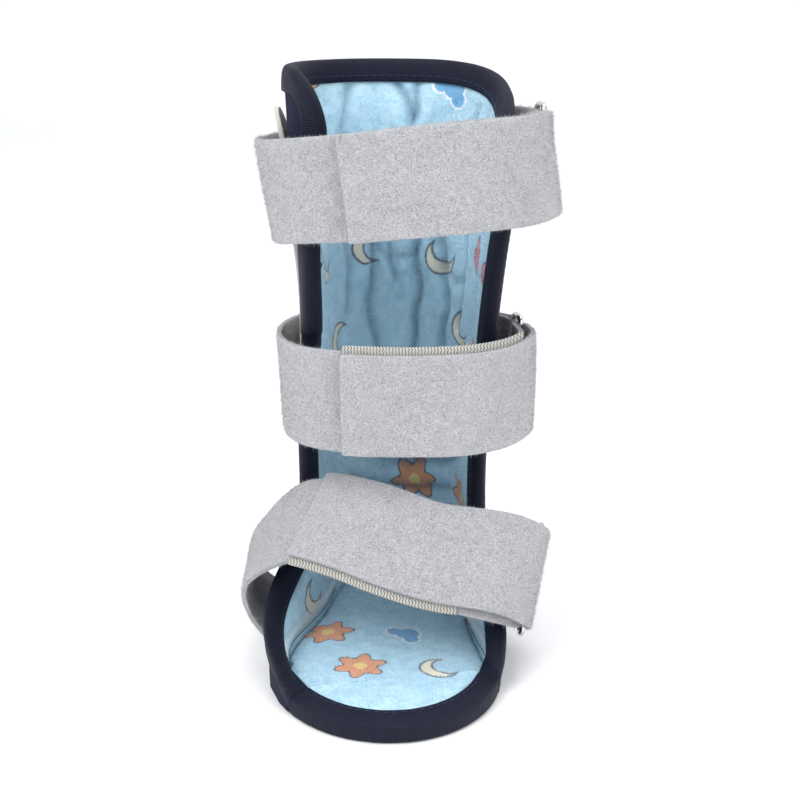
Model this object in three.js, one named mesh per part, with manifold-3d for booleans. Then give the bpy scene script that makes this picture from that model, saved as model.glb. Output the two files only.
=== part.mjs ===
// A child's ankle-foot splint boot: an open-front, open-toe L of padded cloth with three
// grey loop straps. Millimetres, +Z up, toe towards -Y, origin on the sole under the calf.
import * as THREE from "three";
import { mergeVertices } from "three/addons/utils/BufferGeometryUtils.js";
import Module from "manifold-3d";

const wasm = await Module();
wasm.setup();

// Overall sizes
const HEIGHT = 226;
const TOE_REACH = 100.3;
const HEEL_REACH = 53;
const HALF_WIDTH = 45;
const BALL_REACH = 47;
const TOE_LEAN = 3.5;
const TOP_DIP = 2.5;
const CALF_TURN = 5.5;

// The tables and lists below are drawn for a boot of this size, and follow the boot's own
const DRAWN = { height: 226, halfWidth: 45, toeReach: 100.3 };
const atHeight = (z) => (z * HEIGHT) / DRAWN.height;

// Clearance between neighbours, and between two cloths that are sewn together
const GAP = 0.3;
const EDGE_GAP = 0.6;
const SEWN_GAP = 0.7;

// Cloth thicknesses
const SHELL = 2.4;
const SHELL_RIM = 1.6;
const PADDING = 4.2;
const PADDING_RIM = 1.4;
const LIP_SQUEEZE = 0.7;
const SOLE = 3;
const SOLE_STEP = 1.2;
const FOOTBED = 6;
const FOOTBED_RIM = 2.7;
const FOOTBED_BEVEL = 8.5;
const BINDING = 1;
const BINDING_WIDTH = 8;
const STRAP = 2;
const STRAP_WIDTH = 38;
const TAB = 1.6;
const TAPE = 1.2;
const TAPE_GAP = 0.4;

// Rings of bent wire, and the plate on the left panel
const WIRE = 2.5;
const RING_SLOT = 8;
const RING_HEIGHT = 40;
const RING_CORNER = 3;
const STAY = 2;
const STAY_WIDTH = 18;
const STAY_CENTRE = 6;
const STAY_FOOT = atHeight(84);
const STAY_TOP = atHeight(208);
const STAY_BEND = atHeight(197);
const STAY_LIFT = 2.4;

// Fineness of the cloth
const SIDE_CELLS = 12;
const TOE_CELLS = 12;
const STRAP_CELLS = 3;

const EDGE_REACH = EDGE_GAP + BINDING;
const WALL_TOP = HEIGHT - EDGE_REACH;
const TOP_CORNER = 14;
const CORNER_CELLS = 4;
const TOE_END = 0.4;

// Wall sections by height. Height is a share of HEIGHT, half width and ball a share of
// HALF_WIDTH (ball is the extra at BALL_REACH), back a share of HEEL_REACH, the two front
// edges a share of TOE_REACH, curl (front edge drawn inwards) and shift (whole section to
// the right) a share of HALF_WIDTH, and turn a share of CALF_TURN.
const SECTIONS = {
  columns: [
    "height", "half", "ball", "back", "frontLeft", "frontRight",
    "curlLeft", "curlRight", "turn", "shift",
  ],
  rows: [
    [0.0, 0.775, 0.205, 0.975, 0.815, 0.58, 0.0, 0.0, 0.0, 0.0],
    [0.044, 0.775, 0.205, 0.975, 0.815, 0.58, 0.0, 0.0, 0.0, 0.0],
    [0.09, 0.78, 0.23, 1.0, 0.598, 0.42, 0.0, 0.0, 0.0, 0.0],
    [0.134, 0.785, 0.21, 0.99, 0.4, 0.3, 0.0, 0.0, 0.0, -0.01],
    [0.188, 0.79, 0.14, 0.962, 0.2, 0.18, 0.0, 0.0, 0.1, -0.03],
    [0.241, 0.791, 0.06, 0.925, 0.09, 0.09, 0.0, 0.0, 0.3, -0.045],
    [0.29, 0.791, 0.0, 0.896, 0.06, 0.06, 0.0, 0.0, 0.55, -0.05],
    [0.357, 0.791, 0.0, 0.877, 0.11, 0.11, 0.0, 0.01, 0.85, -0.045],
    [0.446, 0.791, 0.0, 0.877, 0.189, 0.189, 0.01, 0.015, 1.0, -0.02],
    [0.558, 0.793, 0.0, 0.887, 0.25, 0.25, 0.03, 0.02, 1.0, -0.005],
    [0.67, 0.835, 0.0, 0.906, 0.28, 0.28, 0.08, 0.02, 1.0, 0.0],
    [0.804, 0.907, 0.0, 0.925, 0.29, 0.29, 0.2, 0.02, 1.0, -0.01],
    [0.906, 0.93, 0.0, 0.943, 0.285, 0.285, 0.32, 0.02, 1.0, -0.025],
    [0.955, 0.935, 0.0, 0.943, 0.275, 0.275, 0.26, 0.05, 1.0, -0.025],
    [1.0, 0.935, 0.0, 0.943, 0.26, 0.26, 0.16, 0.15, 1.0, -0.025],
  ],
};

// Heights of the wall's cloth rows; the last four are the band under the top binding
const WALL_FOOT = 1;
const BINDING_FOOT = 9.8;
const MIDDLE_ROWS = [14, 19, 24.5, 30.5, 37, 44, 52, 61, 71, 83, 96, 111, 127, 143, 160, 177, 193, 206];
const ROW_HEIGHTS = [
  WALL_FOOT, BINDING_FOOT, ...MIDDLE_ROWS.map(atHeight),
  WALL_TOP - BINDING_WIDTH, WALL_TOP - 3.2, WALL_TOP - 0.7, WALL_TOP,
];
const TOP_BAND_ROWS = 3;

// Column of a table at a height, with a curve through its rows that never overshoots
function column(table, name, share) {
  const c = table.columns.indexOf(name);
  const rows = table.rows;
  const last = rows.length - 1;
  const t = Math.min(Math.max(share, rows[0][0]), rows[last][0]);
  let k = 0;
  while (k < last - 1 && t > rows[k + 1][0]) k += 1;
  const slope = (i) => (rows[i + 1][c] - rows[i][c]) / (rows[i + 1][0] - rows[i][0]);
  const tangent = (i) => {
    if (i === 0) return slope(0);
    if (i === last) return slope(last - 1);
    const before = slope(i - 1);
    const after = slope(i);
    return before * after <= 0 ? 0 : (2 * before * after) / (before + after);
  };
  const h = rows[k + 1][0] - rows[k][0];
  const u = (t - rows[k][0]) / h;
  const u2 = u * u;
  const u3 = u2 * u;
  return (
    rows[k][c] * (2 * u3 - 3 * u2 + 1) +
    tangent(k) * h * (u3 - 2 * u2 + u) +
    rows[k + 1][c] * (3 * u2 - 2 * u3) +
    tangent(k + 1) * h * (u3 - u2)
  );
}

const smooth = (t) => {
  const s = Math.min(Math.max(t, 0), 1);
  return s * s * (3 - 2 * s);
};

// Sizes of the wall at a height
function sectionAt(z) {
  const pick = (name) => column(SECTIONS, name, z / HEIGHT);
  const over = Math.max(0, z - (WALL_TOP - TOP_CORNER));
  const rounding = TOP_CORNER - Math.sqrt(Math.max(0, TOP_CORNER ** 2 - over ** 2));
  return {
    half: HALF_WIDTH * pick("half"),
    ball: HALF_WIDTH * pick("ball"),
    back: HEEL_REACH * pick("back"),
    front: [TOE_REACH * pick("frontLeft"), TOE_REACH * pick("frontRight")],
    rounding,
    curl: [HALF_WIDTH * pick("curlLeft"), HALF_WIDTH * pick("curlRight")],
    turn: THREE.MathUtils.degToRad(CALF_TURN * pick("turn")),
    shift: HALF_WIDTH * pick("shift"),
  };
}

// Half width of the wall's outside at a depth y, on side 0 (left) or 1 (right), and its x
const HEEL_POWER = 2.5;
const TOE_POWER = 2;
function halfAt(section, side, y) {
  if (y >= 0) {
    return section.half * (1 - Math.min(1, y / section.back) ** HEEL_POWER) ** (1 / HEEL_POWER);
  }
  const widened = section.half + section.ball * smooth(-y / BALL_REACH);
  const drawn = widened - section.curl[side] * Math.min(1, -y / section.front[side]) ** 2;
  const past = Math.max(0, (-y - BALL_REACH) / (TOE_REACH - BALL_REACH));
  return drawn * (1 - Math.min(1, past) ** TOE_POWER) ** (1 / TOE_POWER);
}

function sideX(section, side, y) {
  const lean = TOE_LEAN * Math.max(0, (-y - BALL_REACH) / (TOE_REACH - BALL_REACH));
  return (side === 0 ? -1 : 1) * halfAt(section, side, y) + section.shift + lean;
}

// Points of one side, from the front edge (or from the toe tip) to the middle of the back
function sideLine(section, side, reach) {
  const points = [];
  const sign = side === 0 ? -1 : 1;
  const steps = 120;
  for (let i = 0; i < steps; i += 1) {
    const s = i / steps;
    const y = reach < TOE_REACH ? -reach * (1 - s) : -reach * Math.cos((s * Math.PI) / 2);
    points.push(new THREE.Vector2(sideX(section, side, y), y));
  }
  for (let i = 0; i <= steps; i += 1) {
    const a = ((i / steps) * Math.PI) / 2;
    const x = section.half * Math.cos(a) ** (2 / HEEL_POWER);
    const y = section.back * Math.sin(a) ** (2 / HEEL_POWER);
    points.push(new THREE.Vector2(section.shift + sign * (i === steps ? 0 : x), y));
  }
  return points;
}

// A point along a line of points, with the normal that faces out of the boot
function pointAlong(points, side, distance) {
  let left = distance;
  let k = 0;
  while (k < points.length - 2 && left > points[k].distanceTo(points[k + 1])) {
    left -= points[k].distanceTo(points[k + 1]);
    k += 1;
  }
  const a = points[k];
  const b = points[k + 1];
  const p = a.clone().lerp(b, Math.min(1, left / Math.max(1e-9, a.distanceTo(b))));
  const from = points[Math.max(0, k - 2)];
  const to = points[Math.min(points.length - 1, k + 3)];
  const along = to.clone().sub(from).normalize();
  const normal = side === 0 ? new THREE.Vector2(-along.y, along.x) : new THREE.Vector2(along.y, -along.x);
  return { p, normal };
}

function lengthOf(points) {
  let sum = 0;
  for (let k = 0; k < points.length - 1; k += 1) sum += points[k].distanceTo(points[k + 1]);
  return sum;
}

const placed = (point, z, turn) =>
  new THREE.Vector3(
    point.x * Math.cos(turn) - point.y * Math.sin(turn),
    point.x * Math.sin(turn) + point.y * Math.cos(turn),
    z,
  );

// One cloth row: its points from the left front edge round the back to the right front edge,
// the second and the last but one lying a binding's width from the edge
function rowAt(z) {
  const section = sectionAt(z);
  const halves = [0, 1].map((side) => {
    const line = sideLine(section, side, section.front[side]);
    const length = lengthOf(line);
    const step = 0.5;
    const low = sectionAt(Math.max(BINDING_FOOT, z - step));
    const high = sectionAt(Math.max(BINDING_FOOT, z + step));
    const rise = (high.front[side] - low.front[side]) / (2 * step);
    const lip = Math.min(BINDING_WIDTH * Math.hypot(1, rise), length * 0.3);
    const cells = [];
    for (let i = 0; i <= SIDE_CELLS; i += 1) {
      const even = i === 0 ? 0 : lip + ((length - lip) * (i - 1)) / (SIDE_CELLS - 1);
      const d = even + section.rounding * Math.max(0, 1 - i / CORNER_CELLS);
      const { p, normal } = pointAlong(line, side, d);
      if (i === SIDE_CELLS) normal.set(0, 1);
      cells.push({ p, normal, fromFront: d, rim: [1, LIP_SQUEEZE][i] ?? 0 });
    }
    return cells;
  });
  const cells = [...halves[0], ...halves[1].slice(0, -1).reverse()];
  return cells.map(({ p, normal, fromFront, rim }) => ({
    point: placed(p, z, section.turn),
    normal: placed(normal, 0, section.turn),
    fromFront,
    rim,
  }));
}

const rows = ROW_HEIGHTS.map((z) => rowAt(z));
const LAST_ROW = rows.length - 1;
const LAST_CELL = 2 * SIDE_CELLS;

// The cloth thins towards the top edge, which dips at the back and falls towards the front
// edges, mostly the right one
const DIP_START = atHeight(190);
const FRONT_FALL = [2, 24];
const FALL_START = atHeight(150);
const FALL_REACH = 90;
rows.forEach((cells, r) => {
  const z = ROW_HEIGHTS[r];
  const band = (z - (WALL_TOP - BINDING_WIDTH)) / BINDING_WIDTH;
  const squeeze = band < 0 ? 0 : LIP_SQUEEZE + (1 - LIP_SQUEEZE) * band;
  const rise = Math.max(0, (z - DIP_START) / (WALL_TOP - DIP_START));
  const falling = smooth((z - FALL_START) / (WALL_TOP - BINDING_WIDTH - FALL_START));
  cells.forEach((cell, c) => {
    cell.rim = Math.max(cell.rim, squeeze);
    const fromEdge = 1 - Math.abs(c - SIDE_CELLS) / SIDE_CELLS;
    const side = c < SIDE_CELLS ? 0 : 1;
    const near = Math.max(0, 1 - cell.fromFront / FALL_REACH);
    const fall = FRONT_FALL[side] * near ** 2;
    cell.point.z -= rise * TOP_DIP * smooth(fromEdge * 1.3) + falling * fall;
  });
});

// Offsets of the layers from the outside of the wall
const shellInside = (cell) => SHELL + (SHELL_RIM - SHELL) * cell.rim;
const paddingOutside = (cell) => shellInside(cell) + GAP;
const paddingInside = (cell) => paddingOutside(cell) + PADDING + (PADDING_RIM - PADDING) * cell.rim;
const inwards = (cell, depth) => cell.point.clone().addScaledVector(cell.normal, -depth);

// A closed body through a row of closed rings with equal counts. A ring's points pair up from
// its two ends, which is how the end faces are filled. flip turns the diagonal of a cell.
function skin(rings, { closed = false, flip = () => false } = {}) {
  const count = rings[0].length;
  const positions = [];
  const indices = [];
  rings.forEach((ring) => ring.forEach((v) => positions.push(v.x, v.y, v.z)));
  const at = (r, k) => (r % rings.length) * count + (k % count);
  const spans = closed ? rings.length : rings.length - 1;
  for (let r = 0; r < spans; r += 1) {
    for (let k = 0; k < count; k += 1) {
      const a = at(r, k);
      const b = at(r, k + 1);
      const c = at(r + 1, k + 1);
      const d = at(r + 1, k);
      if (flip(k, r)) indices.push(a, b, d, b, c, d);
      else indices.push(a, b, c, a, c, d);
    }
  }
  if (!closed) {
    for (let k = 0; k < count / 2 - 1; k += 1) {
      const near = [at(0, k), at(0, k + 1), at(0, count - 2 - k), at(0, count - 1 - k)];
      indices.push(near[0], near[2], near[1], near[0], near[3], near[2]);
      const e = rings.length - 1;
      const far = [at(e, k), at(e, k + 1), at(e, count - 2 - k), at(e, count - 1 - k)];
      indices.push(far[0], far[1], far[2], far[0], far[2], far[3]);
    }
  }
  return closedBody(positions, indices);
}

// Shared points merged, flat triangles dropped and the faces turned outwards
function closedBody(positions, indices) {
  const raw = new THREE.BufferGeometry();
  raw.setAttribute("position", new THREE.Float32BufferAttribute(positions, 3));
  raw.setIndex(indices);
  const merged = mergeVertices(raw, 1e-4);
  const index = merged.index.array;
  const kept = [];
  const p = merged.getAttribute("position");
  const v = [new THREE.Vector3(), new THREE.Vector3(), new THREE.Vector3()];
  let volume = 0;
  for (let i = 0; i < index.length; i += 3) {
    const [a, b, c] = [index[i], index[i + 1], index[i + 2]];
    if (a === b || b === c || c === a) continue;
    kept.push(a, b, c);
    v[0].fromBufferAttribute(p, a);
    v[1].fromBufferAttribute(p, b);
    v[2].fromBufferAttribute(p, c);
    volume += v[0].dot(v[1].cross(v[2]));
  }
  if (volume < 0) {
    for (let i = 0; i < kept.length; i += 3) [kept[i + 1], kept[i + 2]] = [kept[i + 2], kept[i + 1]];
  }
  merged.setIndex(kept);
  return merged;
}

const solid = (geometry) =>
  new wasm.Manifold(
    new wasm.Mesh({
      numProp: 3,
      vertProperties: new Float32Array(geometry.getAttribute("position").array),
      triVerts: new Uint32Array(geometry.index.array),
    }),
  );

function geometryOf(manifold) {
  const made = manifold.getMesh();
  const geometry = new THREE.BufferGeometry();
  geometry.setAttribute("position", new THREE.Float32BufferAttribute(made.vertProperties, 3));
  geometry.setIndex([...made.triVerts]);
  return geometry;
}

// Walls: the outer shell and its padded lining. The diagonals lean with the front edges.
const leaning = (k) => (k <= LAST_CELL ? k < SIDE_CELLS : 2 * LAST_CELL - k >= SIDE_CELLS);
function wall(outside, inside) {
  const rings = rows.map((cells) => [
    ...cells.map((cell) => inwards(cell, outside(cell))),
    ...[...cells].reverse().map((cell) => inwards(cell, inside(cell))),
  ]);
  return skin(rings, { flip: leaning });
}

// Outline of the whole sole, from the toe tip down the left side, round the heel and back up
// the right side. inset is a function of whether the point is on the toe or on a wall cell.
const FOOT = sectionAt(0);
function toePoints(side, inset) {
  const tip = sideLine(FOOT, side, TOE_REACH - 0.001);
  const start = lengthOf(tip) - lengthOf(sideLine(FOOT, side, FOOT.front[side])) - TOE_END;
  const points = [];
  for (let i = 0; i <= TOE_CELLS; i += 1) {
    const { p, normal } = pointAlong(tip, side, (start * i) / TOE_CELLS);
    if (i === 0) {
      p.x = TOE_LEAN;
      normal.set(0, -1);
    }
    points.push({ p, normal, at: p.clone().addScaledVector(normal, -inset) });
  }
  return points;
}

function soleOutline(toeInset, wallInset) {
  const foot = rows[0];
  const left = toePoints(0, toeInset).slice(1).map(({ at }) => at);
  const right = toePoints(1, toeInset).slice(1).map(({ at }) => at);
  const walls = foot.map((cell) => {
    const q = inwards(cell, wallInset(cell));
    return new THREE.Vector2(q.x, q.y);
  });
  const tip = new THREE.Vector2(0, -TOE_REACH + toeInset);
  const leftSide = [tip.clone().setX(TOE_LEAN - 0.4), ...left, ...walls.slice(0, SIDE_CELLS)];
  const rightSide = [tip.clone().setX(TOE_LEAN + 0.4), ...right, ...walls.slice(SIDE_CELLS + 1).reverse()];
  return [...leftSide, ...rightSide.reverse()];
}

const level = (outline, z) => outline.map((q) => new THREE.Vector3(q.x, q.y, z));

// Outer shell: the wall, the sole plate, and the step under the toe where the binding lies
const soleEdge = soleOutline(SOLE_STEP, () => SOLE_STEP);
const solePlate = skin([level(soleEdge, 0), level(soleEdge, SOLE)]);
const TOE_LIP = BINDING_WIDTH;
function toeBand(outer, inner, low, high) {
  const line = [...toePoints(0, 0).slice(1).reverse(), ...toePoints(1, 0)];
  const rings = line.map(({ p, normal }) => {
    const out = p.clone().addScaledVector(normal, outer);
    const back = p.clone().addScaledVector(normal, -inner);
    return [
      new THREE.Vector3(out.x, out.y, low),
      new THREE.Vector3(out.x, out.y, high),
      new THREE.Vector3(back.x, back.y, high),
      new THREE.Vector3(back.x, back.y, low),
    ];
  });
  return skin(rings);
}
const rebate = toeBand(4, TOE_LIP + GAP, -2, BINDING + GAP);
const outerShell = geometryOf(
  solid(wall(() => 0, shellInside)).add(solid(solePlate)).subtract(solid(rebate)),
);

// Lining of the wall stands on the sole
const FOOTBED_Z = SOLE + GAP;
const liningRows = rows.map((cells, r) =>
  cells.map((cell) => ({ ...cell, point: r === 0 ? cell.point.clone().setZ(FOOTBED_Z) : cell.point })),
);
const upperLining = skin(
  liningRows.map((cells) => [
    ...cells.map((cell) => inwards(cell, paddingOutside(cell))),
    ...[...cells].reverse().map((cell) => inwards(cell, paddingInside(cell))),
  ]),
  { flip: leaning },
);

// Footbed: a pad with a bevelled rim
const footbedEdge = soleOutline(SOLE_STEP + GAP, (cell) => paddingInside(cell) + GAP);
const footbedTop = soleOutline(
  SOLE_STEP + GAP + FOOTBED_BEVEL,
  (cell) => paddingInside(cell) + GAP + FOOTBED_BEVEL * 0.6,
);
const footbedLining = skin([
  level(footbedEdge, FOOTBED_Z),
  level(footbedEdge, FOOTBED_Z + FOOTBED_RIM),
  level(footbedTop, FOOTBED_Z + FOOTBED),
]);

// Binding folded over the edge of the wall, from the left toe corner over the top to the right
function bindingStation(row, cell, lipRow, lipCell, before, after) {
  const edge = rows[row][cell];
  const lip = rows[lipRow][lipCell];
  const outer = edge.point;
  const inner = inwards(edge, paddingInside(edge));
  const lipOuter = lip.point;
  const lipInner = inwards(lip, paddingInside(lip));
  const along = after.clone().sub(before).normalize();
  const away = outer.clone().sub(lipOuter);
  away.addScaledVector(along, -away.dot(along)).normalize();
  const reach = EDGE_REACH;
  const middle = outer.clone().add(inner).multiplyScalar(0.5);
  const moved = (p, normal, out, up) => p.clone().addScaledVector(normal, out).addScaledVector(away, up);
  return [
    moved(lipOuter, lip.normal, reach, 0),
    moved(outer, edge.normal, reach * 0.8, reach * 0.35),
    moved(middle, edge.normal, 0, reach * 1.15),
    moved(inner, edge.normal, -reach * 0.8, reach * 0.35),
    moved(lipInner, lip.normal, -reach, 0),
    moved(lipInner, lip.normal, -EDGE_GAP, 0),
    moved(inner, edge.normal, -EDGE_GAP, EDGE_GAP * 0.4),
    moved(middle, edge.normal, 0, EDGE_GAP * 1.3),
    moved(outer, edge.normal, EDGE_GAP, EDGE_GAP * 0.4),
    moved(lipOuter, lip.normal, EDGE_GAP, 0),
  ];
}

const lipTop = LAST_ROW - TOP_BAND_ROWS;
const bindingPath = [];
for (let r = 1; r <= LAST_ROW; r += 1) bindingPath.push([r, 0, Math.min(r, lipTop), 1]);
for (let c = 1; c < LAST_CELL; c += 1) bindingPath.push([LAST_ROW, c, lipTop, c]);
for (let r = LAST_ROW; r >= 1; r -= 1) bindingPath.push([r, LAST_CELL, Math.min(r, lipTop), LAST_CELL - 1]);
const bindingRings = bindingPath.map(([row, cell, lipRow, lipCell], k) => {
  const near = bindingPath[Math.max(0, k - 1)];
  const next = bindingPath[Math.min(bindingPath.length - 1, k + 1)];
  const before = rows[near[0]][near[1]].point;
  const after = rows[next[0]][next[1]].point;
  return bindingStation(row, cell, lipRow, lipCell, before, after);
});
const foldedOver = (k) => k < 2 || k === 5 || k === 6;
const TURNS = [LAST_ROW - 1, LAST_ROW - 1 + SIDE_CELLS, LAST_ROW - 1 + LAST_CELL];
const quarter = (r) => TURNS.filter((n) => r >= n).length;
const upperBinding = skin(bindingRings, { flip: (k, r) => foldedOver(k) === (quarter(r) % 2 === 1) });

// Binding folded over the toe edge of the sole
function toeSection({ p, normal }) {
  const at = (inset, z) => {
    const q = p.clone().addScaledVector(normal, -inset);
    return new THREE.Vector3(q.x, q.y, z);
  };
  const face = SOLE_STEP - GAP - BINDING;
  const rimTop = FOOTBED_Z + FOOTBED_RIM;
  const slope = (FOOTBED - FOOTBED_RIM) / FOOTBED_BEVEL;
  const topAt = (inset) => rimTop + slope * Math.max(0, inset - SOLE_STEP - GAP);
  const lift = GAP * Math.hypot(1, slope);
  return [
    at(TOE_LIP, 0),
    at(face + 0.8, 0),
    at(face, 1),
    at(face, rimTop + GAP + BINDING - 0.8),
    at(face + 0.8, rimTop + GAP + BINDING),
    at(TOE_LIP, topAt(TOE_LIP) + lift + BINDING),
    at(TOE_LIP, topAt(TOE_LIP) + lift),
    at(face + BINDING + 0.8, rimTop + lift),
    at(face + BINDING, rimTop + lift - 0.2),
    at(face + BINDING, BINDING),
    at(face + BINDING + 0.8, BINDING),
    at(TOE_LIP, BINDING),
  ];
}
const toeLine = [...toePoints(0, 0).slice(1).reverse(), ...toePoints(1, 0)];
const toeBinding = skin(toeLine.map(toeSection));

// A point outside the wall at a height and depth on one side, with a width direction that is
// the way up the wall, tilted back by some degrees. stand is the distance from the cloth.
function besideWall(side, z, y, stand, tilt = 0, spread = STRAP_WIDTH / 2) {
  const sign = side === 0 ? -1 : 1;
  const on = (height, depth) => {
    const section = sectionAt(height);
    return placed(new THREE.Vector2(sideX(section, side, depth), depth), height, section.turn);
  };
  const along = on(z, y + 1).sub(on(z, y - 1)).normalize();
  const up = on(z + spread, y).sub(on(Math.max(0, z - spread), y)).normalize();
  const normal = new THREE.Vector3().crossVectors(along, up).multiplyScalar(sign).normalize();
  const angle = THREE.MathUtils.degToRad(tilt);
  const w = up.multiplyScalar(Math.cos(angle)).addScaledVector(along, Math.sin(angle));
  return { p: on(z, y).addScaledVector(normal, stand), w };
}

// A flat ribbon along stations of a centre point p and a width direction w. shift slides it
// sideways along its own width.
function ribbon(stations, width, thickness, { shift = 0, lift = 0 } = {}) {
  const last = stations.length - 1;
  const rings = stations.map(({ p, w }, k) => {
    const before = stations[Math.max(0, k - 1)].p;
    const after = stations[Math.min(last, k + 1)].p;
    const along = after.clone().sub(before).normalize();
    const up = w.clone().addScaledVector(along, -w.dot(along)).normalize();
    const normal = new THREE.Vector3().crossVectors(along, up);
    const at = (side, across) =>
      p
        .clone()
        .addScaledVector(normal, lift + (side * thickness) / 2)
        .addScaledVector(up, shift + across * width);
    const ring = [];
    for (let i = 0; i <= STRAP_CELLS; i += 1) ring.push(at(1, 0.5 - i / STRAP_CELLS));
    for (let i = STRAP_CELLS; i >= 0; i -= 1) ring.push(at(-1, 0.5 - i / STRAP_CELLS));
    return ring;
  });
  return skin(rings, { flip: (k) => k > STRAP_CELLS });
}

// A closed ring of wire. up is the long direction, across points from its front bar to its back
function ringFrame(centre, up, across) {
  const u = up.clone().normalize();
  const b = across.clone().addScaledVector(u, -across.dot(u)).normalize();
  const n = new THREE.Vector3().crossVectors(b, u).normalize();
  return { centre, u, b, n };
}
const BAR_OFFSET = RING_SLOT / 2 + WIRE / 2;
function wireRing({ centre, u, b, n }) {
  const halfHeight = RING_HEIGHT / 2 + WIRE / 2;
  const corner = RING_CORNER;
  const centreline = [];
  const corners = [
    [1, 1, 0],
    [-1, 1, 90],
    [-1, -1, 180],
    [1, -1, 270],
  ];
  corners.forEach(([sx, sy, start]) => {
    for (let i = 0; i <= 3; i += 1) {
      const a = THREE.MathUtils.degToRad(start + i * 30);
      centreline.push({
        x: sx * (BAR_OFFSET - corner) + corner * Math.cos(a),
        y: sy * (halfHeight - corner) + corner * Math.sin(a),
        a,
      });
    }
  });
  const sides = 8;
  const rings = centreline.map(({ x, y, a }) => {
    const at = centre.clone().addScaledVector(b, x).addScaledVector(u, y);
    const out = b.clone().multiplyScalar(Math.cos(a)).addScaledVector(u, Math.sin(a));
    const ring = [];
    for (let i = 0; i < sides; i += 1) {
      const t = ((i + 0.5) / sides) * 2 * Math.PI;
      ring.push(
        at
          .clone()
          .addScaledVector(out, (WIRE / 2) * Math.cos(t))
          .addScaledVector(n, (WIRE / 2) * Math.sin(t)),
      );
    }
    return ring;
  });
  return skin(rings, { closed: true });
}

// Stations round a bar of a ring: from the wall's side, round the bar and out to the far side.
// direction is 1 when the cloth comes from the front and -1 when it comes from the back.
const FOLD_STEPS = 6;
function foldStations(frame, direction, thickness) {
  const radius = WIRE / 2 + GAP + thickness / 2;
  const bar = frame.centre.clone().addScaledVector(frame.b, -direction * BAR_OFFSET);
  const stations = [];
  for (let i = 0; i <= FOLD_STEPS; i += 1) {
    const a = (i / FOLD_STEPS) * Math.PI;
    stations.push({
      p: bar
        .clone()
        .addScaledVector(frame.n, -radius * Math.cos(a))
        .addScaledVector(frame.b, direction * radius * Math.sin(a)),
      w: frame.u.clone(),
    });
  }
  return stations;
}

// Stations of a smooth run through a few given ones, with one of the given ones kept exactly:
// some cells before it and some after
function run(given, before, after = 0, pinned = given.length - 1) {
  const path = new THREE.CatmullRomCurve3(given.map(({ p }) => p), false, "centripetal");
  const parts = given.length - 1;
  const fine = 40 * parts;
  path.arcLengthDivisions = fine;
  const lengths = path.getLengths(fine);
  const pin = lengths[40 * pinned] / lengths[fine];
  const shares = [];
  for (let i = 0; i <= before; i += 1) shares.push((pin * i) / before);
  for (let i = 1; i <= after; i += 1) shares.push(pin + ((1 - pin) * i) / after);
  return shares.map((u) => {
    const t = path.getUtoTmapping(u);
    const slot = t * parts;
    const k = Math.min(parts - 1, Math.floor(slot));
    const w = given[k].w.clone().lerp(given[k + 1].w, smooth(slot - k));
    return { p: path.getPoint(t), w: w.normalize() };
  });
}

// One strap: sewn to the left panel, across the front, through its ring and back over itself
function strap(plan) {
  const ring = ringFrame(plan.ring.centre, plan.ring.up, plan.ring.across);
  const fold = foldStations(ring, 1, STRAP);
  const lead = { p: fold[0].p.clone().addScaledVector(ring.b, -5), w: ring.u.clone() };
  const pinned = plan.anchor.length + plan.freeRow;
  const under = run([...plan.anchor, ...plan.front, lead, fold[0]], plan.cells[0], plan.cells[1], pinned);
  const last = under.length - 1;
  const first = plan.cells[0];
  const over = [];
  const startGap = WIRE + 2 * GAP + STRAP;
  const endGap = STRAP + 2 * TAPE_GAP + TAPE;
  for (let k = last - 1; k >= first; k -= 1) {
    const here = under[k];
    const along = under[k + 1].p.clone().sub(under[k - 1].p).normalize();
    const normal = new THREE.Vector3().crossVectors(along, here.w).normalize();
    const share = (last - k) / (last - first);
    const gap = startGap + (endGap - startGap) * smooth(share * 2.4);
    const p = here.p.clone().addScaledVector(normal, gap);
    p.addScaledVector(here.w, plan.slide * Math.sin(Math.PI * Math.min(1, share * 2)));
    over.push({ p, w: here.w.clone() });
  }
  const stations = [...under, ...fold.slice(1), ...over];
  const tapeStations = over.slice(Math.round(over.length * (1 - plan.tapeShare)));
  return { ring, stations, tapeStations };
}

// Tables of the straps. Rows give the centre of the strap in millimetres in the frame of the
// calf (or of the foot) of the drawn boot, and the direction from its lower to its upper edge.
const vec = (x, y, z) => new THREE.Vector3(x, y, z);
const fitted = (x, y, z) =>
  vec((x * HALF_WIDTH) / DRAWN.halfWidth, (y * TOE_REACH) / DRAWN.toeReach, atHeight(z));
const STRAP_COLUMNS = ["x", "y", "z", "upX", "upY", "upZ"];
function turned(v, degrees) {
  return v.applyAxisAngle(vec(0, 0, 1), THREE.MathUtils.degToRad(degrees));
}
function rowsToStations(table, degrees) {
  return table.map((row) => {
    const cell = (name) => row[STRAP_COLUMNS.indexOf(name)];
    return {
      p: turned(fitted(cell("x"), cell("y"), cell("z")), degrees),
      w: turned(vec(cell("upX"), cell("upY"), cell("upZ")), degrees).normalize(),
    };
  });
}

function ringPlan(centre, up, across, degrees) {
  return {
    centre: turned(fitted(...centre), degrees),
    up: turned(vec(...up), degrees),
    across: turned(vec(...across), degrees),
  };
}

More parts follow.
